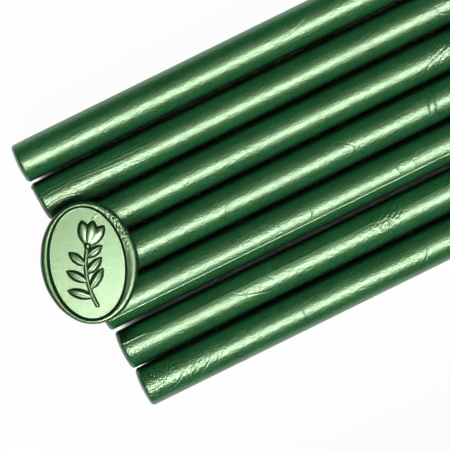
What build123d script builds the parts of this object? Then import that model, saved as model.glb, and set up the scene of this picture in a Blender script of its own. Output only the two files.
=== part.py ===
from build123d import *
import math
import os

# A row of round sealing-wax sticks lying side by side on a desk, with one pressed wax seal resting
# on the ends of the middle sticks. All sizes are millimetres and all angles are degrees.
# +X runs along the sticks, +Y across the row towards the first stick, and +Z is up from the desk.

# Wax sticks: one end comes from the closed end of the mould, the other is trimmed flat
STICK_DIAMETER = 11.0
STICK_LENGTH = 135.0
END_CROWN = 0.6
END_ROUNDING = 1.1
TRIM_ROUNDING = 0.5

# Clear space between each stick and the next, from the first stick on
STICK_GAPS = [0.6, 0.35, 0.3, 0.3, 0.8, 0.3]

# How far each stick's moulded end stands back from the foremost one
STICK_SETBACKS = [0.0, 0.8, 1.3, 1.8, 2.3, 3.0, 3.5]

# Pressed seal: the oval left by the stamp's face, and the wax squeezed up around it
STAMP_LENGTH = 30.0
STAMP_WIDTH = 20.0
STAMP_OFF_CENTRE = 0.5
RIM_AT_ENDS = 1.6
RIM_AT_SIDES = 3.1
RIM_HEIGHT = 1.3
SEAL_FLOOR = 2.1
WALL_DRAFT = 0.6
CREST_ROUNDING = 0.85
MOUTH_ROUNDING = 0.2
FOOT_ROUNDING = 0.7

# Share of the free rim that the rounding of its crest may take
CREST_SHARE = 0.85

# Where the seal lies on the row
SEAL_FROM_END = 5.8
SEAL_ACROSS = 2.2
SEAL_TURN = -16.7
SEAL_CLEARANCE = 0.2

# Flowering sprig raised on the seal's floor: one bloom on a bowed stem, and leaves by turns on its two sides
SPRIG_MARGIN = 3.4
STEM_RADIUS = 0.55
STEM_BOW = 1.6
CALYX_RADIUS = 1.0
PETAL_LENGTH = 7.0
PETAL_WIDTH = 3.6
PETAL_SPREAD = 27.0
PETAL_HEIGHT = 1.05
SIDE_PETAL_HEIGHT = 0.8
LEAF_COUNT = 6
FIRST_LEAF_ABOVE_FOOT = 2.4
LEAF_PITCH = 2.2
LEAF_LENGTH = 7.2
LEAF_SHRINKAGE = 0.35
LEAF_WIDTH = 2.7
LEAF_HEIGHT = 0.9
LEAF_ANGLE = 50.0
BLADE_SLOPE = 42.0

# Places that follow from the sizes above
stick_radius = STICK_DIAMETER / 2
row_width = len(STICK_SETBACKS) * STICK_DIAMETER + sum(STICK_GAPS)
seal_half_length = STAMP_LENGTH / 2 + RIM_AT_ENDS
seal_half_width = STAMP_WIDTH / 2 + RIM_AT_SIDES
turn = math.radians(SEAL_TURN)
seal_reach = math.hypot(seal_half_length * math.sin(turn), seal_half_width * math.cos(turn))

# The row starts where it puts the middle of the whole object at X = 0
nearest = min(min(STICK_SETBACKS), SEAL_FROM_END - seal_reach)
farthest = max(max(STICK_SETBACKS) + STICK_LENGTH, SEAL_FROM_END + seal_reach)
row_start = -(nearest + farthest) / 2

os.makedirs("parts", exist_ok=True)

# Wax sticks: a bulging moulded end with a soft edge, a straight wall and a flat trimmed end
stick_y = row_width / 2 - stick_radius
for number, setback in enumerate(STICK_SETBACKS, start=1):
    stick_end = (row_start + setback, stick_y, stick_radius)
    with BuildPart() as wax_stick:
        with BuildSketch(Plane(origin=stick_end, x_dir=(1, 0, 0), z_dir=(0, -1, 0))) as profile:
            with BuildLine():
                TangentArc((0, 0), (END_CROWN, stick_radius), tangent=(0, 1))
                Polyline(
                    (END_CROWN, stick_radius),
                    (STICK_LENGTH, stick_radius),
                    (STICK_LENGTH, 0),
                    (0, 0),
                )
            make_face()
            moulded_corner = profile.vertices().group_by(Axis.Y)[-1].sort_by(Axis.X)[0]
            fillet(moulded_corner, END_ROUNDING)
            trimmed_corner = profile.vertices().group_by(Axis.Y)[-1].sort_by(Axis.X)[-1]
            fillet(trimmed_corner, TRIM_ROUNDING)
        revolve(axis=Axis(stick_end, (1, 0, 0)))
    wax_stick.part.label = f"wax_stick_{number}"
    export_step(wax_stick.part, f"parts/wax_stick_{number}.step")
    if number <= len(STICK_GAPS):
        stick_y -= STICK_DIAMETER + STICK_GAPS[number - 1]

# Pressed seal: its planes follow the sticks it lies on and the way it is turned
seal_plane = Plane(
    origin=(row_start + SEAL_FROM_END, SEAL_ACROSS, STICK_DIAMETER + SEAL_CLEARANCE),
    x_dir=(math.cos(turn), math.sin(turn), 0),
    z_dir=(0, 0, 1),
)
floor_plane = Plane(
    origin=seal_plane.from_local_coords((-STAMP_OFF_CENTRE, 0, SEAL_FLOOR)),
    x_dir=seal_plane.x_dir,
    z_dir=seal_plane.z_dir,
)
free_rim = min(RIM_AT_ENDS, RIM_AT_SIDES - STAMP_OFF_CENTRE) - WALL_DRAFT - MOUTH_ROUNDING
crest_rounding = min(CREST_ROUNDING, CREST_SHARE * free_rim)
sprig_half = STAMP_LENGTH / 2 - SPRIG_MARGIN
stem_top = sprig_half - PETAL_LENGTH

with BuildPart() as wax_seal:
    # Oval cake of wax with a rounded foot and a rounded outer shoulder
    with BuildSketch(seal_plane):
        Ellipse(seal_half_width, seal_half_length)
    extrude(amount=SEAL_FLOOR + RIM_HEIGHT)
    fillet(wax_seal.edges().sort_by(Axis.Z)[-1], crest_rounding)
    fillet(wax_seal.edges().sort_by(Axis.Z)[0], FOOT_ROUNDING)

    # The stamp's recess, a little wider at its mouth than at its floor
    with BuildSketch(floor_plane):
        Ellipse(STAMP_WIDTH / 2, STAMP_LENGTH / 2)
    with BuildSketch(floor_plane.offset(RIM_HEIGHT)):
        Ellipse(STAMP_WIDTH / 2 + WALL_DRAFT, STAMP_LENGTH / 2 + WALL_DRAFT)
    loft(mode=Mode.SUBTRACT)
    crest = wax_seal.faces().filter_by(Plane.XY).sort_by(Axis.Z)[-1]
    fillet(crest.inner_wires().edges(), MOUTH_ROUNDING)

    # Stem of the sprig, half sunk in the floor, and a round calyx on its top
    with BuildLine(floor_plane):
        stem = ThreePointArc(
            (STEM_BOW / 2, -sprig_half),
            (-STEM_BOW / 2, (stem_top - sprig_half) / 2),
            (STEM_BOW / 2, stem_top),
        )
    with BuildSketch(Plane(origin=stem @ 0, z_dir=stem % 0)):
        Circle(STEM_RADIUS)
    sweep(path=stem)
    with Locations(stem @ 1):
        Sphere(CALYX_RADIUS)

    # Leaves by turns on the left and the right of the stem, each shorter than the one below it
    blades = []
    for number in range(LEAF_COUNT):
        along = (FIRST_LEAF_ABOVE_FOOT + number * LEAF_PITCH) / stem.length
        leaf_angle = LEAF_ANGLE if number % 2 == 0 else -LEAF_ANGLE
        pointing = (stem % along).rotate(Axis.Z, leaf_angle)
        leaf_length = LEAF_LENGTH - number * LEAF_SHRINKAGE
        blades.append((stem @ along, pointing, leaf_length, LEAF_WIDTH, LEAF_HEIGHT))

    # The bloom has a petal between two lower ones
    for petal_angle, petal_height in (
        (PETAL_SPREAD, SIDE_PETAL_HEIGHT),
        (-PETAL_SPREAD, SIDE_PETAL_HEIGHT),
        (0, PETAL_HEIGHT),
    ):
        pointing = (stem % 1).rotate(Axis.Z, petal_angle)
        blades.append((stem @ 1, pointing, PETAL_LENGTH, PETAL_WIDTH, petal_height))

    # Petals and leaves are pointed at both ends and slope up to a ridge
    for seat, pointing, length, width, height in blades:
        with BuildSketch(Plane(origin=seat, x_dir=pointing, z_dir=(0, 0, 1))):
            with BuildLine():
                ThreePointArc((0, 0), (length / 2, -width / 2), (length, 0))
                ThreePointArc((length, 0), (length / 2, width / 2), (0, 0))
            make_face()
        extrude(amount=height, taper=BLADE_SLOPE)
wax_seal.part.label = "wax_seal"
export_step(wax_seal.part, "parts/wax_seal.step")
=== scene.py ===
import math

import bpy
import numpy as np
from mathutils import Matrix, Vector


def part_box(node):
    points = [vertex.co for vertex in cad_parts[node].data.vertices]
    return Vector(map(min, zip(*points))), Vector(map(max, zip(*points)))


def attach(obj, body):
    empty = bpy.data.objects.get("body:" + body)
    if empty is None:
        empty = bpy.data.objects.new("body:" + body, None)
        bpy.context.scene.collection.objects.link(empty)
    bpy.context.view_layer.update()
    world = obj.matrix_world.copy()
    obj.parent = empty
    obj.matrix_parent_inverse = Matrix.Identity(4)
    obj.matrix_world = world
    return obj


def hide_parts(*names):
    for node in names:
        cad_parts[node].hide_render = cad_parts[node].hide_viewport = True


# Seven pearl-green wax sticks side by side, with a pressed wax seal on the ends of the middle ones.
# Sizes are millimetres and angles are degrees until a mesh, a lamp or the camera takes them.
# +X runs along the sticks from their moulded ends, +Y points at the first stick, and +Z is up.
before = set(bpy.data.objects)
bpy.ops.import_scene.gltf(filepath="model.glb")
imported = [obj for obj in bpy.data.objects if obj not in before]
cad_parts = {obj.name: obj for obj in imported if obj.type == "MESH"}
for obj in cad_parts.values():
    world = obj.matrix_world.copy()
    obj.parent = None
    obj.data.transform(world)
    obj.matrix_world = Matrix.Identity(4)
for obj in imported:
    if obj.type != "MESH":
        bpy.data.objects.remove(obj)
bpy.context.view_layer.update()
MM = 0.001

# Camera: straight above the row, turned so that the sticks run up to the right
CAMERA_HEIGHT = 3000.0
CAMERA_OVER = (-22.44, -4.72)
CAMERA_TURN = -26.2
CAMERA_SIGHT = 100000.0
PICTURE_WIDTH = 121.2
SENSOR_WIDTH = 36.0

# Light: two soft lamps overhead make the sheen of the wax, three low ones and a weak one overhead light its
# colour, and the room is dim. Each lamp has its lean from the zenith towards -Y, its swing from there
# towards +X, its spread, its strength, and what it makes.
LAMPS = {
    "sheen_lamp": (21.3, 0.0, 33.0, 5.2, "sheen"),
    "soft_lamp": (5.0, 0.0, 84.0, 0.95, "sheen"),
    "near_left_lamp": (66.5, -38.0, 34.0, 3.3, "colour"),
    "near_right_lamp": (67.0, 42.0, 34.0, 2.3, "colour"),
    "far_lamp": (-78.5, -32.0, 18.0, 4.5, "colour"),
    "top_lamp": (6.0, 0.0, 30.0, 0.15, "colour"),
}
ROOM_LIGHT = 0.006
HORIZON_HEIGHT = 0.03

# Floor: its paint is white in an oval round the row and dark farther out, a painted pool of light, which
# fades between two distances across the sticks and is stretched along them. How open a place lies is the
# share of the sky over it that nothing within reach hides. Between two such shares the floor glows white, a
# painted glow that fades as painted shade where things nearby hide the sky: the OPEN ones for the eye, and
# the
# MIRRORED ones for reflections, which see the glow only inside the painted pool of light.
FLOOR_SIZE = 30000.0
FLOOR_COLOUR = (0.95, 0.95, 0.95)
# The dim colour paints the floor dark away from the row, a painted falloff of light
DIM_COLOUR = (0.03, 0.03, 0.03)
FLOOR_GLOW = 0.96
LIT_OVER = (0.0, 3.0)
LIT_STRETCH = 4.0
LIT_FROM = 60.0
LIT_TO = 85.0
OPEN_REACH = 12.0
OPEN_SAMPLES = 200
OPEN_FROM = 0.095
OPEN_TO = 0.24
MIRRORED_FROM = 0.6
MIRRORED_TO = 0.9

# Sticks: the moulded end bulges a little and has a rounded edge, and the trimmed end is flat
STICK_COUNT = 7
END_CROWN = 0.6
END_ROUNDING = 1.1
TRIM_ROUNDING = 0.5
STICK_UNEVENNESS = 0.012
UNEVENNESS_LENGTH = 22.0
UNEVENNESS_STRETCH = 3.0

# Rings and lines of a stick's mesh: close together at its marks and on its upper side, and closest at a seam
CROWN_RINGS = 11
EDGE_RINGS = 13
TRIM_RINGS = 7
FACE_RINGS = 6
FINE_STEP = 0.12
COARSE_STEP = 1.2
PATCH_MARGIN = 2.0
FINE_ANGLE = 1.0
COARSE_ANGLE = 6.0
FINE_ARC = 81.0
SEAM_ANGLE = 0.4
SEAM_LINES = 9

# One stick came out of its mould with its end drawn out on one side, and a tooth on that side
DRAWN_END = {
    "stick": 2,
    "slope": 0.11,
    "tooth": 0.25,
    "tooth_at": 4.4,
    "tooth_width": 0.35,
    "fades_over": 2.5,
}

# Seal: the oval left by the stamp's face, and the wax squeezed up around it as a round bead. Its own X and Y,
# which the comments on it speak of, are those of the row before it is turned.
STAMP_LENGTH = 30.0
STAMP_WIDTH = 20.0
STAMP_OFF_CENTRE = 0.5
RIM_AT_ENDS = 1.6
RIM_AT_SIDES = 3.1
RIM_HEIGHT = 1.3
SEAL_FLOOR = 2.1
WALL_DRAFT = 0.6
FOOT_ROUNDING = 0.7
SEAL_TURN = -16.7

# Rings and spokes of the seal's mesh
SPOKES = 600
FLOOR_RINGS = 92
WALL_RINGS = 7
INNER_RINGS = 12
OUTER_RINGS = 18
SIDE_RINGS = 5
FOOT_RINGS = 7
UNDERSIDE_STEPS = (3.0, 6.0, 9.0)

# The pressed floor swells, leans and has faint waves of two lengths
FLOOR_DOME = 0.2
DOME_MIDDLE = 0.5
DOME_WIDTH = 24.0
DOME_LENGTH = 30.0
FLOOR_LEAN = 1.5
FLOOR_WAVES = 0.0025
LONG_WAVES = 2.6
SHORT_WAVES = 0.9
SHORT_WAVE_SHARE = 0.5

# The rim's crest lies at a share of the way from the recess's mouth to the outer edge. It is moved outward
# at both sides, and by its skew outward at the +X side and inward at the other. At the +X side the recess's
# wall is also lower and steeper, and ends in a small lip.
WALL_SHARE = 0.95
WALL_SHARE_SKEW = 0.22
DRAFT_SKEW = 0.3
CREST_SHARE = 0.22
CREST_SKEW = 0.17
CREST_AT_SIDES = 0.18
CREST_POWER = 2.2
MOUTH_LIP_HEIGHT = 0.07
MOUTH_LIP_WIDTH = 0.16

# The outline wavers, and its +X side is drawn in but swells at its middle. The rim is pitted at one place.
# The reach of the swell, and the middle and the reach of the pits, are radians round the seal from +X
# towards +Y.
OUTLINE_WAVER = 0.07
WAVER_LENGTH = 5.0
WAVER_CIRCLE = 8.0
OUTLINE_SHIFT = 0.13
SIDE_DRAWN_IN = 0.1
SIDE_SWELL = 0.25
SWELL_REACH = 0.28
PIT_DEPTH = 0.15
PIT_SIZE = 0.8
PIT_WAVES = 40
PITS_MIDDLE = 0.62
PITS_REACH = 0.45

# Marks on the seal's floor, written as the sticks' flow marks are, from the middle of the stamp's oval
SEAL_MARKS = [
    ([(3.4, 11.4), (4.0, 12.0), (4.9, 12.7)], 0.3, -0.06),
    ([(-5.4, -1.8), (-4.2, -5.4), (-2.6, -9.6)], 0.2, 0.025),
    ([(-4.1, -3.6), (-3.0, -5.2), (-1.5, -7.2)], 0.2, 0.02),
]

# Flowering sprig raised on the seal's floor: one bloom on a bowed stem, and leaves by turns on both sides
SPRIG_MARGIN = 3.4
STEM_RADIUS = 0.55
STEM_BOW = 1.6
CALYX_RADIUS = 1.0
PETAL_LENGTH = 7.0
PETAL_WIDTH = 3.6
PETAL_SPREAD = 27.0
PETAL_HEIGHT = 1.05
SIDE_PETAL_HEIGHT = 0.8
LEAF_COUNT = 6
FIRST_LEAF_ABOVE_FOOT = 2.4
LEAF_PITCH = 2.2
LEAF_LENGTH = 7.2
LEAF_SHRINKAGE = 0.35
LEAF_WIDTH = 2.7
LEAF_HEIGHT = 0.9
LEAF_ANGLE = 50.0
LEAF_CREASE = 0.16
BLADE_LIFT = 0.5
LEAST_WIDTH = 1e-6
CREASE_WIDTH = 0.18

# Pearl wax: a dark green body whose tone drifts slowly, full of pale flakes that show as a fine grain
STICK_GREEN = (0.0075, 0.067, 0.020)
# The seal is of the sticks' wax, but its green is made about four times darker. This is painted shade for the
# dark walls and flanks of its rim, and it darkens the whole seal.
SEAL_PAINTED_SHADE_GREEN = (0.0018, 0.018, 0.006)
FLAKE_TINT = (0.62, 1.0, 0.48)
STICK_IOR = 1.71
SEAL_IOR = 2.03
STICK_ROUGHNESS = 0.39
SEAL_ROUGHNESS = 0.38
STICK_COAT = 0.45
SEAL_COAT = 0.6
COAT_ROUGHNESS = 0.225
COAT_IOR = 1.5
DRIFT_SCALE = 90.0
DRIFT_DETAIL = 4.0
DRIFT_DISTORTION = 1.2
DRIFT_TONE = 0.15
GRAIN_SIZE = 0.5
GRAIN_TONE = 0.25
GRAIN_ROUGHNESS = 0.1
STICK_GRAIN = 0.068
SEAL_GRAIN = 0.018

# Most of what a noise texture gives lies between these two values
NOISE_LOW = 0.3
NOISE_HIGH = 0.7

# Flow marks cast into the sticks. Each is a groove, or a ridge where its depth is negative, through points
# given as the distance along the stick from its moulded end and the distance across it from its crest line,
# towards +Y. Its width and depth follow.
FLOW_MARKS = {
    1: [
        ([(88.2, 1.5), (83.2, -0.2), (77.1, -1.7), (76.1, -3.1), (77.9, -4.6)], 0.3, 0.05),
        ([(86.2, -3.8), (94.0, -4.2), (102.4, -4.5)], 0.2, -0.07),
    ],
    2: [
        ([(1.2, -2.2), (3.2, -1.5), (7.1, -1.4), (11.8, -2.8)], 0.2, 0.06),
        ([(2.8, 4.3), (4.6, 3.7), (6.4, 4.0)], 0.3, 0.12),
        ([(4.4, 3.4), (6.2, 2.9), (8.2, 3.3)], 0.3, 0.1),
        ([(6.8, 3.9), (9.4, 3.2), (13.0, 3.4)], 0.3, 0.08),
        ([(1.0, 1.6), (9.0, 1.9), (20.0, 1.2), (34.0, 0.6)], 0.45, 0.05),
        ([(2.0, 0.6), (11.0, 1.0), (24.0, -0.2)], 0.35, 0.04),
        ([(14.0, 2.4), (26.0, 1.9), (40.0, 2.1)], 0.4, 0.04),
        ([(10.0, -0.6), (19.0, -0.9), (31.0, -1.9)], 0.35, 0.035),
        ([(116.0, 3.2), (118.2, 1.0), (118.9, -0.6), (119.3, -1.9), (121.4, -3.3)], 0.3, 0.07),
    ],
    3: [
        ([(55.5, 0.9), (56.0, -1.2), (56.0, -4.2)], 0.35, 0.05),
        ([(117.5, 1.3), (112.4, -0.6), (109.0, -2.4), (107.5, -4.0)], 0.45, 0.08),
        ([(118.0, 0.2), (114.5, -1.2), (112.5, -2.6)], 0.4, 0.05),
        ([(118.5, -1.0), (116.0, -2.2), (114.8, -3.4)], 0.35, 0.05),
    ],
    4: [
        ([(44.0, 0.8), (42.7, -2.5), (41.0, -4.7)], 0.35, 0.05),
        ([(41.0, 1.1), (41.2, 0.9)], 0.3, 0.06),
        ([(77.4, 2.0), (78.9, 1.3)], 0.5, 0.07),
        ([(79.4, 1.4), (81.6, -1.0), (81.4, -2.4), (80.4, -4.2)], 0.35, 0.06),
        ([(105.1, 4.5), (104.6, 1.0), (103.9, -2.6)], 0.32, 0.12),
        ([(107.0, 4.6), (106.4, 0.5), (105.5, -4.2)], 0.32, 0.12),
    ],
    5: [
        ([(58.5, 4.5), (62.3, 1.4), (63.2, -0.3), (62.6, -2.1)], 0.3, 0.08),
        ([(88.6, 1.9), (89.5, -2.4)], 0.3, 0.07),
        ([(93.8, 0.2), (94.3, -2.4)], 0.3, 0.06),
    ],
    6: [
        ([(33.2, 1.3), (36.8, -1.1), (43.4, -3.1)], 0.35, 0.07),
        ([(37.6, 4.0), (37.0, 2.2), (37.4, 0.9)], 0.35, 0.05),
        ([(38.7, 4.2), (38.3, 2.6), (38.6, 1.2)], 0.35, 0.05),
        ([(44.0, 1.2), (45.6, -0.7)], 0.4, 0.05),
    ],
    7: [
        ([(0.5, -1.6), (4.7, -1.5), (7.7, 0.3), (9.8, 3.2)], 0.3, 0.07),
        ([(0.5, -2.2), (4.9, -3.7), (9.6, -2.7), (11.8, -0.5)], 0.3, 0.07),
        ([(9.0, 3.0), (9.5, 1.5), (9.9, 0.9)], 0.3, 0.06),
        ([(1.6, 4.2), (0.9, 2.4), (1.2, 1.0)], 0.35, 0.08),
        ([(15.4, 1.2), (14.6, -0.6)], 0.35, 0.05),
        ([(17.7, 1.6), (16.8, -0.5)], 0.35, 0.05),
        ([(20.3, 0.8), (19.2, -1.6), (15.0, -3.8)], 0.35, 0.06),
        ([(23.1, -0.4), (21.2, -2.5), (18.1, -3.9)], 0.35, 0.06),
        ([(48.1, 4.8), (48.0, 0.9), (48.1, -4.3)], 0.35, 0.07),
        ([(52.3, 4.9), (52.0, 2.6), (53.0, 0.6)], 0.4, 0.05),
        ([(53.8, 4.3), (53.6, 2.2), (54.6, 0.4)], 0.4, 0.04),
        ([(83.9, 4.5), (85.3, 0.5), (84.9, -1.4), (83.2, -3.0)], 0.4, 0.07),
    ],
}

# Wave lengths of an uneven surface, as shares of their usual length
SHORTEST_WAVE = 0.6
LONGEST_WAVE = 1.6

# A groove's cross-section, how fast it deepens along its length, and how deep it starts
GROOVE_SHARPNESS = 2.8
GROOVE_FADE = 6.0
GROOVE_START = 0.2

# Rough patches: where each begins and ends along its stick, where it lies across it, its reach and its depth
ROUGH_PATCHES = {
    3: [(112.0, 122.0, -1.5, 2.0, 0.014)],
    6: [(75.0, 85.0, 1.2, 2.6, 0.06)],
    7: [(12.0, 20.0, -1.0, 2.2, 0.02)],
}
FOLD_SIZE = 1.2
FOLD_WAVES = 24

# Mould seams: angle from the crest line towards +Y, width, height of the thin flash along it, height of the
# lip where the lower half stands out, and where along the stick the lip changes sides
SEAMS = {
    5: (-33.5, 0.17, 0.085, 0.0, 0.0),
    6: (16.5, 0.1, 0.0, 0.12, 9.0),
}
SEAM_REACH = 0.9


def smooth_line(points, steps=12):
    """More points along a Catmull-Rom curve through the given ones."""
    held = np.array([points[0], *points, points[-1]], float)
    share = np.linspace(0, 1, steps, endpoint=False)[:, None]
    runs = []
    for a, b, c, d in zip(held, held[1:], held[2:], held[3:]):
        bend = 2 * a - 5 * b + 4 * c - d
        twist = 3 * b - a - 3 * c + d
        runs.append(b + share * ((c - a) + share * (bend + share * twist)) / 2)
    return np.vstack([*runs, held[-1:]])


def groove(x, y, points, width, depth):
    """Depth, at places (x, y), of a groove along a smooth line that fades out at both ends."""
    line = smooth_line(points)
    nearness = np.zeros(np.broadcast(x, y).shape)
    share = np.linspace(0, 1, len(line))
    for start, end, along in zip(line, line[1:], share):
        way = end - start
        on_line = np.clip(((x - start[0]) * way[0] + (y - start[1]) * way[1]) / (way @ way), 0, 1)
        away = np.hypot(x - start[0] - on_line * way[0], y - start[1] - on_line * way[1])
        fade = min(1.0, GROOVE_START + GROOVE_FADE * min(along, 1 - along))
        nearness = np.maximum(nearness, fade * np.exp(-((away / width) ** 2) * GROOVE_SHARPNESS))
    return depth * nearness


def unevenness(x, y, size, seed, waves=14):
    """Gentle irregular waves, about from -1 to 1, whose length is about the given size."""
    draw = np.random.default_rng(seed)
    total = np.zeros(np.broadcast(x, y).shape)
    for _ in range(waves):
        heading, phase = draw.uniform(0, 2 * math.pi, 2)
        pitch = 2 * math.pi / (size * draw.uniform(SHORTEST_WAVE, LONGEST_WAVE))
        total += np.sin(pitch * (x * math.cos(heading) + y * math.sin(heading)) + phase)
    return total / math.sqrt(waves)


def shell_mesh(name, start, rings, end):
    """A closed mesh from a first point, rings of points, and a last point, all in millimetres."""
    count, around = rings.shape[:2]
    points = np.vstack([[start], rings.reshape(-1, 3), [end]]) * MM
    here = np.arange(around)
    there = (here + 1) % around
    rows = 1 + around * np.arange(count - 1)[:, None]
    quads = np.stack([rows + here, rows + there, rows + around + there, rows + around + here], -1)
    last = 1 + around * (count - 1)
    first_fan = np.stack([np.zeros_like(here), 1 + there, 1 + here], -1)
    last_fan = np.stack([np.full_like(here, len(points) - 1), last + here, last + there], -1)
    mesh = bpy.data.meshes.new(name)
    faces = quads.reshape(-1, 4).tolist() + first_fan.tolist() + last_fan.tolist()
    mesh.from_pydata(points.tolist(), [], faces)
    mesh.shade_smooth()
    made = bpy.data.objects.new(name, mesh)
    bpy.context.scene.collection.objects.link(made)
    return made


def stick_profile(radius, length, marked):
    """(distance along, radius) of a stick's rings, closer together over the marked stretches."""
    ball = (radius ** 2 + END_CROWN ** 2) / (2 * END_CROWN)
    inner = radius - END_ROUNDING
    shoulder = ball - math.sqrt((ball - END_ROUNDING) ** 2 - inner ** 2)
    meets = math.atan2(inner, ball - shoulder)
    crown = np.linspace(0, meets, CROWN_RINGS + 1)[1:]
    edge = np.linspace(meets, math.pi / 2, EDGE_RINGS + 1)[1:]
    trim = np.linspace(0, math.pi / 2, TRIM_RINGS)
    places = [np.arange(shoulder + COARSE_STEP, length - TRIM_ROUNDING, COARSE_STEP)]
    for low, high in marked:
        places.append(np.arange(max(low, shoulder + FINE_STEP), high, FINE_STEP))
    wall = np.unique(np.round(np.concatenate(places) / FINE_STEP)) * FINE_STEP
    wall = wall[(wall > shoulder) & (wall < length - TRIM_ROUNDING)]
    face = np.linspace(radius - TRIM_ROUNDING, 0, FACE_RINGS + 2)[1:-1]
    along = np.concatenate([
        ball - ball * np.cos(crown),
        shoulder - END_ROUNDING * np.cos(edge),
        wall,
        length - TRIM_ROUNDING + TRIM_ROUNDING * np.sin(trim),
        np.full(len(face), length),
    ])
    out = np.concatenate([
        ball * np.sin(crown),
        inner + END_ROUNDING * np.sin(edge),
        np.full(len(wall), radius),
        radius - TRIM_ROUNDING + TRIM_ROUNDING * np.cos(trim),
        face,
    ])
    return along, out


def stick_angles(seam=None):
    """Angles round a stick from its crest line, close together on its upper side and closest at its seam."""
    upper = np.arange(-FINE_ARC, FINE_ARC + FINE_ANGLE / 2, FINE_ANGLE)
    if seam is not None:
        beside = seam + SEAM_ANGLE * np.arange(-SEAM_LINES, SEAM_LINES + 1)
        away = np.abs(upper - seam) > beside[-1] - seam + SEAM_ANGLE / 2
        upper = np.sort(np.concatenate([upper[away], beside]))
    lower = np.arange(FINE_ARC + COARSE_ANGLE, 360 - FINE_ARC - COARSE_ANGLE / 2, COARSE_ANGLE)
    return np.radians(np.concatenate([upper, lower]))


def seam_height(s, t, radius, seam, width, flash, lip, changes_at):
    """Height of a mould seam: a thin flash, or a lip that stands out on one side only."""
    beside = t - radius * math.radians(seam)
    side = np.where(s > changes_at, 1, -1)
    drop = (1 - np.tanh(side * beside / width)) / 2
    return flash * np.exp(-((beside / width) ** 2)) + lip * drop * np.exp(-np.abs(beside) / SEAM_REACH)


def rough_patch(s, t, begins, ends, across, reach, depth):
    """Height of a patch where the wax set in small folds."""
    middle, half = (begins + ends) / 2, (ends - begins) / 2
    nearness = np.exp(-(((s - middle) / half) ** 4) - ((t - across) / reach) ** 2)
    return depth * nearness * unevenness(s, t, FOLD_SIZE, seed=41, waves=FOLD_WAVES)


def drawn_end(s, across):
    """How far the drawn-out end's wall and face move along the stick."""
    drawn = DRAWN_END["slope"] * np.maximum(across, 0)
    off_tooth = (across - DRAWN_END["tooth_at"]) / DRAWN_END["tooth_width"]
    tooth = DRAWN_END["tooth"] * np.exp(-(off_tooth ** 2))
    return -(drawn + tooth) * np.exp(-((s / DRAWN_END["fades_over"]) ** 2))


def marked_stretches(number):
    """The stretches along a stick where its marks lie."""
    stretches = []
    for points, width, _ in FLOW_MARKS.get(number, []):
        places = [place for place, _ in points]
        stretches.append((min(places) - 2 * width, max(places) + 2 * width))
    for begins, ends, *_ in ROUGH_PATCHES.get(number, []):
        stretches.append((begins - PATCH_MARGIN, ends + PATCH_MARGIN))
    return stretches


def surface_shift(number, s, t, radius):
    """How far a stick's unevenness, marks, folds and seam move its surface outward."""
    shift = STICK_UNEVENNESS * unevenness(s, t * UNEVENNESS_STRETCH, UNEVENNESS_LENGTH, seed=number)
    for points, width, depth in FLOW_MARKS.get(number, []):
        arc = [(place, radius * math.asin(across / radius)) for place, across in points]
        shift -= groove(s, t, arc, width, depth)
    for patch in ROUGH_PATCHES.get(number, []):
        shift += rough_patch(s, t, *patch)
    if number in SEAMS:
        shift += seam_height(s, t, radius, *SEAMS[number])
    return shift


def wax_stick(number):
    """One stick in place of its CAD node, with its flow marks and mould seam."""
    node = f"wax_stick_{number}"
    low, high = (np.array(corner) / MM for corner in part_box(node))
    middle = (low + high) / 2
    radius = (high[2] - low[2]) / 2
    along, out = stick_profile(radius, high[0] - low[0], marked_stretches(number))
    angle = stick_angles(SEAMS[number][0] if number in SEAMS else None)
    from_crest = np.where(angle > math.pi, angle - 2 * math.pi, angle)
    s, t = np.meshgrid(along, radius * from_crest, indexing="ij")

    # The marks fade out at the end's rounding, and underneath, where the stick lies on the desk
    wall = (out / radius)[:, None]
    upper = (1 + np.cos(angle)) / 2
    reach = out[:, None] + surface_shift(number, s, t, radius) * wall ** 4 * upper
    if number == DRAWN_END["stick"]:
        s = s + drawn_end(s, reach * np.sin(angle))
    rings = np.stack([
        low[0] + s,
        middle[1] + reach * np.sin(angle),
        middle[2] + reach * np.cos(angle),
    ], -1)
    start = (low[0], middle[1], middle[2])
    end = (high[0], middle[1], middle[2])
    stick = shell_mesh(f"pearl_stick_{number}", start, rings, end)
    stick.data.materials.append(stick_wax)
    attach(stick, f"stick_{number}")
    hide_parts(node)


def turned(way, angle):
    """A direction or a place turned anticlockwise by an angle in degrees."""
    c, s = math.cos(math.radians(angle)), math.sin(math.radians(angle))
    return np.array([c * way[0] - s * way[1], s * way[0] + c * way[1]])


class Stem:
    """The sprig's bowed stem, as an arc from its foot to its top."""

    def __init__(self, foot, top):
        half = (top - foot) / 2
        self.radius = (half ** 2 + STEM_BOW ** 2) / (2 * STEM_BOW)
        self.half_angle = math.asin(half / self.radius)
        self.centre = np.array([self.radius - STEM_BOW / 2, (foot + top) / 2])
        self.length = 2 * self.radius * self.half_angle

    def at(self, distance):
        """(point, direction) at a distance from the foot."""
        swing = self.half_angle - distance / self.radius
        point = self.centre - self.radius * np.array([math.cos(swing), math.sin(swing)])
        return point, np.array([-math.sin(swing), math.cos(swing)])

    def height(self, x, y):
        """Height of the round stem over the floor."""
        dx, dy = x - self.centre[0], y - self.centre[1]
        swing = np.clip(np.arctan2(-dy, -dx), -self.half_angle, self.half_angle)
        nearest_x = self.centre[0] - self.radius * np.cos(swing)
        nearest_y = self.centre[1] - self.radius * np.sin(swing)
        return round_bar(np.hypot(x - nearest_x, y - nearest_y), STEM_RADIUS)


def round_bar(away, radius):
    """Height of a half-sunk round bar at a distance from its axis."""
    return np.sqrt(np.maximum(radius ** 2 - away ** 2, 0))


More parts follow.
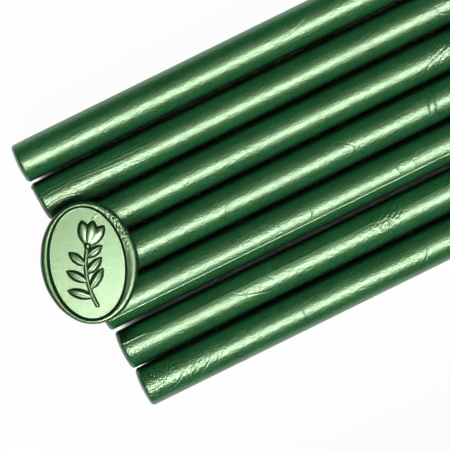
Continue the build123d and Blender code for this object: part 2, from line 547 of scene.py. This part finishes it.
def blade_height(x, y, seat, way, length, width, height, crease):
    """Height of a domed petal or leaf, pointed at both ends, with a crease along its middle."""
    a = (x - seat[0]) * way[0] + (y - seat[1]) * way[1]
    b = (y - seat[1]) * way[0] - (x - seat[0]) * way[1]
    arc = (length ** 2 + width ** 2) / (4 * width)
    half = np.sqrt(np.maximum(arc ** 2 - (a - length / 2) ** 2, 0)) - (arc - width / 2)
    half = np.where((a > 0) & (a < length), np.maximum(half, LEAST_WIDTH), LEAST_WIDTH)
    off = np.abs(b) / half
    fullness = np.sqrt(np.minimum(2 * half / width, 1)) * (1 + BLADE_LIFT * (a / length - 0.5))
    dome = height * np.sqrt(np.maximum(1 - off ** 2, 0)) - crease * np.exp(-((b / CREASE_WIDTH) ** 2))
    return np.where(off < 1, dome * fullness, 0)


def sprig_height(x, y):
    """Height of the whole sprig over the seal's floor, from the middle of the stamp's oval."""
    half = STAMP_LENGTH / 2 - SPRIG_MARGIN
    stem = Stem(-half, half - PETAL_LENGTH)
    top, upward = stem.at(stem.length)
    height = np.maximum(stem.height(x, y), round_bar(np.hypot(x - top[0], y - top[1]), CALYX_RADIUS))
    blades = []
    for number in range(LEAF_COUNT):
        seat, way = stem.at(FIRST_LEAF_ABOVE_FOOT + number * LEAF_PITCH)
        way = turned(way, LEAF_ANGLE if number % 2 == 0 else -LEAF_ANGLE)
        leaf_length = LEAF_LENGTH - number * LEAF_SHRINKAGE
        blades.append((seat, way, leaf_length, LEAF_WIDTH, LEAF_HEIGHT, LEAF_CREASE))
    for angle, petal_height in (
        (PETAL_SPREAD, SIDE_PETAL_HEIGHT),
        (-PETAL_SPREAD, SIDE_PETAL_HEIGHT),
        (0, PETAL_HEIGHT),
    ):
        blades.append((top, turned(upward, angle), PETAL_LENGTH, PETAL_WIDTH, petal_height, 0))
    for blade in blades:
        height = np.maximum(height, blade_height(x, y, *blade))
    return height


def seal_floor(x, y):
    """Height of the seal's floor over its underside, at places from the middle of the stamp's oval."""
    lift = sprig_height(x, y)
    dome = FLOOR_DOME * (DOME_MIDDLE - (2 * x / DOME_WIDTH) ** 2 - (2 * y / DOME_LENGTH) ** 2)
    downhill = turned((0, -1), -SEAL_TURN)
    lean = -math.tan(math.radians(FLOOR_LEAN)) * (x * downhill[0] + y * downhill[1])
    short_waves = SHORT_WAVE_SHARE * unevenness(x, y, SHORT_WAVES, seed=32)
    waves = FLOOR_WAVES * (unevenness(x, y, LONG_WAVES, seed=31) + short_waves)
    bare = np.where(lift > 0, 0, 1)
    marks = sum(groove(x, y, *mark) for mark in SEAL_MARKS)
    return SEAL_FLOOR + dome + lean + waves + lift - bare * marks


def seal_outline(angle):
    """The seal's outer edge: a wavering oval that swells at one side."""
    c, s = np.cos(angle), np.sin(angle)
    swell = SIDE_SWELL * np.exp(-((np.angle(np.exp(1j * angle)) / SWELL_REACH) ** 2))
    waver = OUTLINE_WAVER * unevenness(WAVER_CIRCLE * c, WAVER_CIRCLE * s, WAVER_LENGTH, seed=33)
    waver = waver + swell - SIDE_DRAWN_IN * np.sqrt(np.maximum(c, 0))
    x = (STAMP_WIDTH / 2 + RIM_AT_SIDES + waver) * c
    y = (STAMP_LENGTH / 2 + RIM_AT_ENDS + waver) * s + OUTLINE_SHIFT
    return np.stack([x, y], -1)


def rim_steps(c, foot, mouth):
    """(share of the way from the recess's foot to the outer edge, height) of each ring of the rim."""
    crest = mouth + (1 - mouth) * (CREST_SHARE + CREST_SKEW * c + CREST_AT_SIDES * c ** 2)
    wall = RIM_HEIGHT * (WALL_SHARE - WALL_SHARE_SKEW * np.maximum(c, 0))
    top = SEAL_FLOOR + RIM_HEIGHT
    steps = []
    for k in np.linspace(0, 1, WALL_RINGS + 1)[1:]:
        steps.append((mouth * k, foot + (SEAL_FLOOR + wall - foot) * k))
    for k in np.linspace(0, 1, INNER_RINGS + 1)[1:]:
        steps.append((mouth + (crest - mouth) * k, top - (RIM_HEIGHT - wall) * (1 - k) ** 2))
    for k in np.radians(np.linspace(0, 90, OUTER_RINGS + 1)[1:]):
        outward = math.sin(k) ** (2 / CREST_POWER)
        downward = max(math.cos(k), 0) ** (2 / CREST_POWER)
        steps.append((crest + (1 - crest) * outward, np.full_like(c, SEAL_FLOOR + RIM_HEIGHT * downward)))
    return steps


def seal_rim(angle, outline):
    """Rings of the rim, from the foot of the recess's wall over a round, pitted crest to the outer edge."""
    c, s = np.cos(angle), np.sin(angle)
    foot_x, foot_y = STAMP_WIDTH / 2 * c - STAMP_OFF_CENTRE, STAMP_LENGTH / 2 * s
    across_x, across_y = outline[:, 0] - foot_x, outline[:, 1] - foot_y
    wide = np.hypot(across_x, across_y)
    mouth = WALL_DRAFT * (1 - DRAFT_SKEW * c) / wide
    foot = seal_floor(foot_x + STAMP_OFF_CENTRE, foot_y)
    near_pits = np.exp(-(((angle - PITS_MIDDLE) / PITS_REACH) ** 2))
    rings = []
    for share, height in rim_steps(c, foot, mouth):
        x, y = foot_x + across_x * share, foot_y + across_y * share
        on_bead = np.clip((share - mouth) / (1 - mouth), 0, 1)
        pitted = near_pits * np.sin(math.pi * on_bead)
        pits = np.maximum(unevenness(x, y, PIT_SIZE, seed=34, waves=PIT_WAVES), 0) * PIT_DEPTH * pitted
        off_lip = ((share - mouth) * wide - MOUTH_LIP_WIDTH) / MOUTH_LIP_WIDTH
        lip = MOUTH_LIP_HEIGHT * np.maximum(c, 0) * np.exp(-(off_lip ** 2))
        rings.append(np.stack([x, y, height - pits + lip], -1))
    return np.array(rings)


def seal_side(outline):
    """Rings of the side, the rounded foot and the underside."""
    inward = -outline / np.linalg.norm(outline, axis=1)[:, None]
    below = []
    for drop in np.linspace(0, 1, SIDE_RINGS + 1)[1:]:
        below.append((0, SEAL_FLOOR * (1 - drop) + FOOT_ROUNDING * drop))
    for bend in np.radians(np.linspace(0, 90, FOOT_RINGS + 1)[1:]):
        below.append((FOOT_ROUNDING * (1 - math.cos(bend)), FOOT_ROUNDING * (1 - math.sin(bend))))
    below += [(FOOT_ROUNDING + step, 0.0) for step in UNDERSIDE_STEPS]
    rings = []
    for drawn_in, height in below:
        rings.append(np.column_stack([outline + inward * drawn_in, np.full(len(outline), height)]))
    return np.array(rings)


def wax_seal():
    """The pressed seal in place of its CAD node: a relief on an oval floor inside a rounded rim."""
    low, high = (np.array(corner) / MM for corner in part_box("wax_seal"))
    middle = (low + high) / 2
    angle = np.arange(SPOKES) * 2 * math.pi / SPOKES
    share = np.linspace(0, 1, FLOOR_RINGS + 1)[1:, None]
    x, y = share * STAMP_WIDTH / 2 * np.cos(angle), share * STAMP_LENGTH / 2 * np.sin(angle)
    floor_rings = np.stack([x - STAMP_OFF_CENTRE, y, seal_floor(x, y)], -1)
    outline = seal_outline(angle)
    rings = np.concatenate([floor_rings, seal_rim(angle, outline), seal_side(outline)])

    x, y = turned((rings[..., 0], rings[..., 1]), SEAL_TURN)
    placed = np.stack([middle[0] + x, middle[1] + y, low[2] + rings[..., 2]], -1)
    x, y = turned((-STAMP_OFF_CENTRE, 0), SEAL_TURN)
    start = (middle[0] + x, middle[1] + y, low[2] + seal_floor(np.zeros(1), np.zeros(1))[0])
    end = (middle[0], middle[1], low[2])
    seal = shell_mesh("pearl_seal", start, placed[:, ::-1], end)
    # The seal's material carries painted shade in its darker green
    seal.data.materials.append(seal_painted_shade_wax)
    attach(seal, "seal")
    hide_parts("wax_seal")


def math_node(nodes, links, operation, first, second):
    """The output of a maths node fed by two other nodes' outputs."""
    node = nodes.new("ShaderNodeMath")
    node.operation = operation
    links.new(first, node.inputs[0])
    links.new(second, node.inputs[1])
    return node.outputs[0]


def ramp_node(nodes, links, value, low, high, bottom=0.0, top=1.0):
    """The output of a node that runs from a bottom, where the value is low, to a top, where it is high."""
    node = nodes.new("ShaderNodeMapRange")
    node.inputs["From Min"].default_value = low
    node.inputs["From Max"].default_value = high
    node.inputs["To Min"].default_value = bottom
    node.inputs["To Max"].default_value = top
    links.new(value, node.inputs["Value"])
    return node.outputs["Result"]


def pearl_wax(name, green, roughness, ior, coat, grain_depth):
    """Dark green wax with pale flakes that glint as a broad, fine-grained sheen under a thin clear skin."""
    material = bpy.data.materials.new(name)
    material.use_nodes = True
    nodes, links = material.node_tree.nodes, material.node_tree.links
    shader = nodes["Principled BSDF"]
    shader.inputs["IOR"].default_value = ior
    shader.inputs["Specular Tint"].default_value = (*FLAKE_TINT, 1)
    shader.inputs["Coat Weight"].default_value = coat
    shader.inputs["Coat Roughness"].default_value = COAT_ROUGHNESS
    shader.inputs["Coat IOR"].default_value = COAT_IOR
    place = nodes.new("ShaderNodeTexCoord")

    # Slow drifts of tone, from the flow of the melted wax
    drift = nodes.new("ShaderNodeTexNoise")
    drift.inputs["Scale"].default_value = DRIFT_SCALE
    drift.inputs["Detail"].default_value = DRIFT_DETAIL
    drift.inputs["Distortion"].default_value = DRIFT_DISTORTION
    links.new(place.outputs["Object"], drift.inputs["Vector"])
    tone = nodes.new("ShaderNodeValToRGB")
    dark, pale = tone.color_ramp.elements
    dark.position, pale.position = NOISE_LOW, NOISE_HIGH
    dark.color = (*((1 - DRIFT_TONE) * part for part in green), 1)
    pale.color = (*((1 + DRIFT_TONE) * part for part in green), 1)
    links.new(drift.outputs["Fac"], tone.inputs["Fac"])

    # Fine grain of the flakes, in the tone, in the gloss and in the surface
    grain = nodes.new("ShaderNodeTexNoise")
    grain.inputs["Scale"].default_value = 1 / (GRAIN_SIZE * MM)
    grain.inputs["Detail"].default_value = 0.0
    links.new(place.outputs["Object"], grain.inputs["Vector"])
    flakes = grain.outputs["Fac"]
    fleck = ramp_node(nodes, links, flakes, NOISE_LOW, NOISE_HIGH, 1 - GRAIN_TONE, 1 + GRAIN_TONE)
    speckled = nodes.new("ShaderNodeMix")
    speckled.data_type = "RGBA"
    speckled.blend_type = "MULTIPLY"
    speckled.inputs["Factor"].default_value = 1.0
    links.new(tone.outputs["Color"], speckled.inputs["A"])
    links.new(fleck, speckled.inputs["B"])
    links.new(speckled.outputs["Result"], shader.inputs["Base Color"])
    smooth, rough = roughness - GRAIN_ROUGHNESS, roughness + GRAIN_ROUGHNESS
    gloss = ramp_node(nodes, links, flakes, NOISE_LOW, NOISE_HIGH, smooth, rough)
    links.new(gloss, shader.inputs["Roughness"])
    bump = nodes.new("ShaderNodeBump")
    bump.inputs["Strength"].default_value = 1.0
    bump.inputs["Distance"].default_value = grain_depth * MM
    links.new(flakes, bump.inputs["Height"])
    links.new(bump.outputs["Normal"], shader.inputs["Normal"])
    links.new(bump.outputs["Normal"], shader.inputs["Coat Normal"])
    return material


def painted_light_pool(nodes, links):
    """The painted pool of light on the floor, from 0 in the dim part to 1 round the row."""
    place = nodes.new("ShaderNodeTexCoord")
    mapping = nodes.new("ShaderNodeMapping")
    mapping.inputs["Location"].default_value = (-LIT_OVER[0] * MM / LIT_STRETCH, -LIT_OVER[1] * MM, 0)
    mapping.inputs["Scale"].default_value = (1 / LIT_STRETCH, 1, 1)
    links.new(place.outputs["Object"], mapping.inputs["Vector"])
    distance = nodes.new("ShaderNodeVectorMath")
    distance.operation = "LENGTH"
    links.new(mapping.outputs["Vector"], distance.inputs[0])
    return ramp_node(nodes, links, distance.outputs["Value"], LIT_TO * MM, LIT_FROM * MM)


def painted_glow_share(nodes, links, lit):
    """How strongly a place glows white, a painted glow: to the eye where it lies open, to reflections where
    it lies wide open and in the painted pool of light. Where things nearby hide the sky, it fades as painted
    shade.
    """
    # The openness dims the painted glow, as painted shade where things nearby hide the sky
    closed_in = nodes.new("ShaderNodeAmbientOcclusion")
    closed_in.inputs["Distance"].default_value = OPEN_REACH * MM
    closed_in.samples = OPEN_SAMPLES
    openness = closed_in.outputs["AO"]
    open_here = ramp_node(nodes, links, openness, OPEN_FROM, OPEN_TO, top=FLOOR_GLOW)
    wide_open = ramp_node(nodes, links, openness, MIRRORED_FROM, MIRRORED_TO, top=FLOOR_GLOW)
    rays = nodes.new("ShaderNodeLightPath").outputs
    watched = math_node(nodes, links, "MULTIPLY", rays["Is Camera Ray"], open_here)
    mirrored = math_node(nodes, links, "MAXIMUM", rays["Is Glossy Ray"], rays["Is Transmission Ray"])
    mirrored = math_node(nodes, links, "MULTIPLY", mirrored, lit)
    mirrored = math_node(nodes, links, "MULTIPLY", mirrored, wide_open)
    return math_node(nodes, links, "MAXIMUM", watched, mirrored)


def floor_paint():
    """White paint, dark outside the painted pool of light, under a painted glow that the eye sees as white
    where the floor lies open. Elsewhere the eye sees the paint as the lamps light it.
    """
    material = bpy.data.materials.new("white_floor")
    material.use_nodes = True
    nodes, links = material.node_tree.nodes, material.node_tree.links
    nodes.remove(nodes["Principled BSDF"])
    lit = painted_light_pool(nodes, links)
    # The paint runs from dim to white over the painted pool of light
    colour = nodes.new("ShaderNodeMix")
    colour.data_type = "RGBA"
    colour.inputs["A"].default_value = (*DIM_COLOUR, 1)
    colour.inputs["B"].default_value = (*FLOOR_COLOUR, 1)
    links.new(lit, colour.inputs["Factor"])
    paint = nodes.new("ShaderNodeBsdfDiffuse")
    links.new(colour.outputs["Result"], paint.inputs["Color"])
    # A painted white glow on the floor, which is no lamp
    glow = nodes.new("ShaderNodeEmission")
    mix = nodes.new("ShaderNodeMixShader")
    links.new(painted_glow_share(nodes, links, lit), mix.inputs["Fac"])
    links.new(paint.outputs["BSDF"], mix.inputs[1])
    links.new(glow.outputs["Emission"], mix.inputs[2])
    links.new(mix.outputs["Shader"], nodes["Material Output"].inputs["Surface"])
    return material


def floor():
    """A flat floor that runs out of sight."""
    half = FLOOR_SIZE / 2 * MM
    corners = [(-half, -half, 0), (half, -half, 0), (half, half, 0), (-half, half, 0)]
    mesh = bpy.data.meshes.new("studio_floor")
    mesh.from_pydata(corners, [], [(0, 1, 2, 3)])
    mesh.materials.append(floor_paint())
    ground = bpy.data.objects.new("studio_floor", mesh)
    bpy.context.scene.collection.objects.link(ground)


def lamps():
    """The lamps, of which some light only the gloss of the wax and the others only its body."""
    for name, (lean, swing, spread, strength, makes) in LAMPS.items():
        lamp = bpy.data.lights.new(name, "SUN")
        lamp.energy = strength
        lamp.angle = math.radians(spread)
        lamp.cycles.use_multiple_importance_sampling = False
        lamp_object = bpy.data.objects.new(name, lamp)
        lamp_object.rotation_euler = (math.radians(lean), 0, math.radians(swing))
        lamp_object.visible_diffuse = makes == "colour"
        lamp_object.visible_glossy = makes == "sheen"
        if makes == "sheen":
            lamp.cycles.max_bounces = 0
        bpy.context.scene.collection.objects.link(lamp_object)


def room():
    """A dim room that pales towards its horizon."""
    world = bpy.data.worlds.new("studio")
    bpy.context.scene.world = world
    world.use_nodes = True
    nodes, links = world.node_tree.nodes, world.node_tree.links
    way = nodes.new("ShaderNodeTexCoord")
    split = nodes.new("ShaderNodeSeparateXYZ")
    links.new(way.outputs["Generated"], split.inputs["Vector"])
    fade = ramp_node(nodes, links, split.outputs["Z"], 0.0, HORIZON_HEIGHT, 1.0, ROOM_LIGHT)
    links.new(fade, nodes["Background"].inputs["Strength"])
    nodes["Background"].inputs["Color"].default_value = (1, 1, 1, 1)


def camera():
    """The camera straight above the row."""
    axis_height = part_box("wax_stick_1")[1].z / MM / 2
    data = bpy.data.cameras.new("camera")
    data.sensor_width = SENSOR_WIDTH
    data.lens = SENSOR_WIDTH * (CAMERA_HEIGHT - axis_height) / PICTURE_WIDTH
    data.clip_end = CAMERA_SIGHT * MM
    eye = bpy.data.objects.new("camera", data)
    eye.location = (CAMERA_OVER[0] * MM, CAMERA_OVER[1] * MM, CAMERA_HEIGHT * MM)
    eye.rotation_euler = (0, 0, math.radians(CAMERA_TURN))
    bpy.context.scene.collection.objects.link(eye)
    bpy.context.scene.camera = eye


stick_wax = pearl_wax("stick_pearl_wax", STICK_GREEN, STICK_ROUGHNESS, STICK_IOR, STICK_COAT, STICK_GRAIN)
# The seal's darker green is painted shade
seal_painted_shade_wax = pearl_wax("seal_pearl_painted_shade", SEAL_PAINTED_SHADE_GREEN, SEAL_ROUGHNESS, SEAL_IOR, SEAL_COAT, SEAL_GRAIN)
for stick_number in range(1, STICK_COUNT + 1):
    wax_stick(stick_number)
wax_seal()
floor()
lamps()
room()
camera()

bpy.context.scene.view_settings.view_transform = "Standard"
